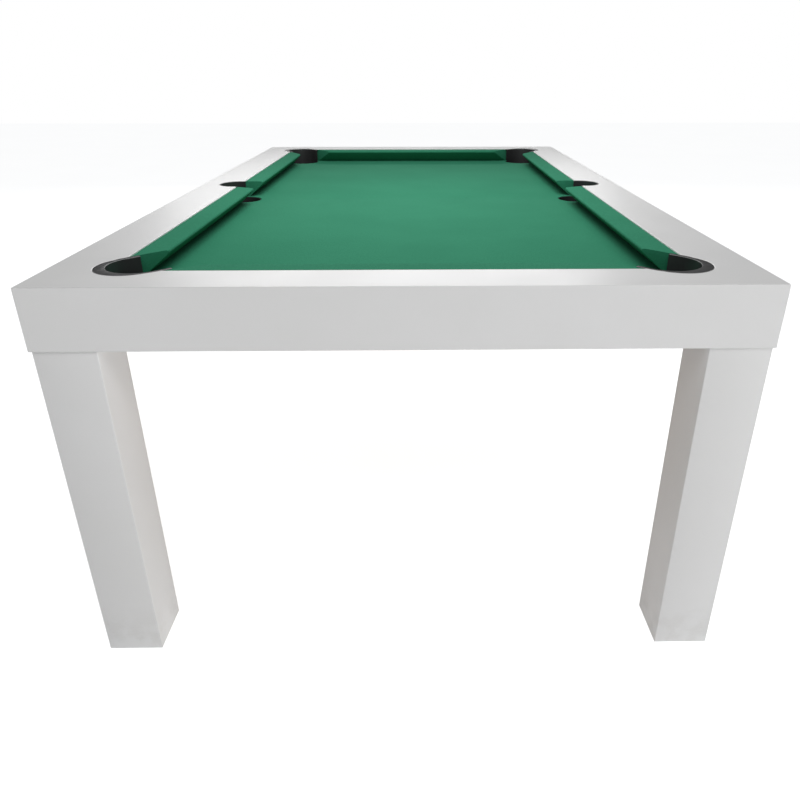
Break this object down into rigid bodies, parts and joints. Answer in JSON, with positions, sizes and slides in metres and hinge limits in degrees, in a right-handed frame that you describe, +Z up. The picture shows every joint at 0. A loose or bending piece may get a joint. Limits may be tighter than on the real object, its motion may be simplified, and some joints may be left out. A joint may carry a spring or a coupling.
{
  "type": "pool table",
  "caption": "Pool table with square legs, cloth-covered bed and cushions, drop pockets and levelling feet in the legs.",
  "frame": {"origin": "on the floor under the centre of the table", "axes": "+Z up, +Y along the table's length towards the far end, +X to the right"},
  "size_m": [1.24, 2.13, 0.77],
  "materials": {
    "lacquer": "white satin lacquer over board",
    "frame_timber": "bare planed timber",
    "bed_panel": "sealed fibreboard",
    "bed_cloth": "green napped wool cloth",
    "cushion_cloth": "green wool cloth over rubber",
    "liner": "black satin moulding",
    "foot_rubber": "black rubber",
    "zinc_steel": "zinc-plated steel"
  },
  "bodies": {
    "table": {"side_apron_left": "lacquer", "side_rail_left": "lacquer", "side_pocket_liner_left": "liner", "stringer_left": "frame_timber", "side_apron_right": "lacquer", "side_rail_right": "lacquer", "side_pocket_liner_right": "liner", "stringer_right": "frame_timber", "end_apron_near": "lacquer", "end_rail_near": "lacquer", "end_cushion_near": "cushion_cloth", "end_sub_rail_near": "frame_timber", "cross_beam_near": "frame_timber", "end_apron_far": "lacquer", "end_rail_far": "lacquer", "end_cushion_far": "cushion_cloth", "end_sub_rail_far": "frame_timber", "cross_beam_far": "frame_timber", "corner_pocket_liner_near_left": "liner", "side_cushion_near_left": "cushion_cloth", "side_sub_rail_near_left": "frame_timber", "leg_near_left": "lacquer", "corner_block_near_left": "frame_timber", "leg_foot_block_near_left": "frame_timber", "corner_pocket_liner_near_right": "liner", "side_cushion_near_right": "cushion_cloth", "side_sub_rail_near_right": "frame_timber", "leg_near_right": "lacquer", "corner_block_near_right": "frame_timber", "leg_foot_block_near_right": "frame_timber", "corner_pocket_liner_far_left": "liner", "side_cushion_far_left": "cushion_cloth", "side_sub_rail_far_left": "frame_timber", "leg_far_left": "lacquer", "corner_block_far_left": "frame_timber", "leg_foot_block_far_left": "frame_timber", "corner_pocket_liner_far_right": "liner", "side_cushion_far_right": "cushion_cloth", "side_sub_rail_far_right": "frame_timber", "leg_far_right": "lacquer", "corner_block_far_right": "frame_timber", "leg_foot_block_far_right": "frame_timber", "bed_cloth": "bed_cloth", "bed_board": "bed_panel", "bed_corner_boards": "bed_panel", "bed_side_boards": "bed_panel", "bed_pocket_boards": "bed_panel", "leg_top_blocks": "frame_timber", "bed_screws": "zinc_steel", "rail_bolts": "zinc_steel", "leg_bolts": "zinc_steel", "foot_inserts": "zinc_steel"},
    "pad_near_left": {"foot_pad_near_left": "foot_rubber"},
    "stem_near_left": {"foot_stem_near_left": "zinc_steel"},
    "pad_near_right": {"foot_pad_near_right": "foot_rubber"},
    "stem_near_right": {"foot_stem_near_right": "zinc_steel"},
    "pad_far_left": {"foot_pad_far_left": "foot_rubber"},
    "stem_far_left": {"foot_stem_far_left": "zinc_steel"},
    "pad_far_right": {"foot_pad_far_right": "foot_rubber"},
    "stem_far_right": {"foot_stem_far_right": "zinc_steel"}
  },
  "joints": [
    {"name": "foot_travel_near_left", "type": "slide", "parent": "table", "child": "pad_near_left", "axis": [0, 0, 1], "range_m": [-0.0075, 0]},
    {"name": "foot_turn_near_left", "type": "hinge", "parent": "pad_near_left", "child": "stem_near_left", "pos_m": [-0.5625, -1.0075, 0.02], "axis": [0, 0, 1], "range_deg": [0, 1800]},
    {"name": "foot_travel_near_right", "type": "slide", "parent": "table", "child": "pad_near_right", "axis": [0, 0, 1], "range_m": [-0.0075, 0]},
    {"name": "foot_turn_near_right", "type": "hinge", "parent": "pad_near_right", "child": "stem_near_right", "pos_m": [0.5625, -1.0075, 0.02], "axis": [0, 0, 1], "range_deg": [0, 1800]},
    {"name": "foot_travel_far_left", "type": "slide", "parent": "table", "child": "pad_far_left", "axis": [0, 0, 1], "range_m": [-0.0075, 0]},
    {"name": "foot_turn_far_left", "type": "hinge", "parent": "pad_far_left", "child": "stem_far_left", "pos_m": [-0.5625, 1.0075, 0.02], "axis": [0, 0, 1], "range_deg": [0, 1800]},
    {"name": "foot_travel_far_right", "type": "slide", "parent": "table", "child": "pad_far_right", "axis": [0, 0, 1], "range_m": [-0.0075, 0]},
    {"name": "foot_turn_far_right", "type": "hinge", "parent": "pad_far_right", "child": "stem_far_right", "pos_m": [0.5625, 1.0075, 0.02], "axis": [0, 0, 1], "range_deg": [0, 1800]}
  ],
  "couplings": [
    {"joint": "foot_turn_near_left", "follows": "foot_travel_near_left", "rad_per_m": -4188.8},
    {"joint": "foot_turn_near_right", "follows": "foot_travel_near_right", "rad_per_m": -4188.8},
    {"joint": "foot_turn_far_left", "follows": "foot_travel_far_left", "rad_per_m": -4188.8},
    {"joint": "foot_turn_far_right", "follows": "foot_travel_far_right", "rad_per_m": -4188.8}
  ]
}
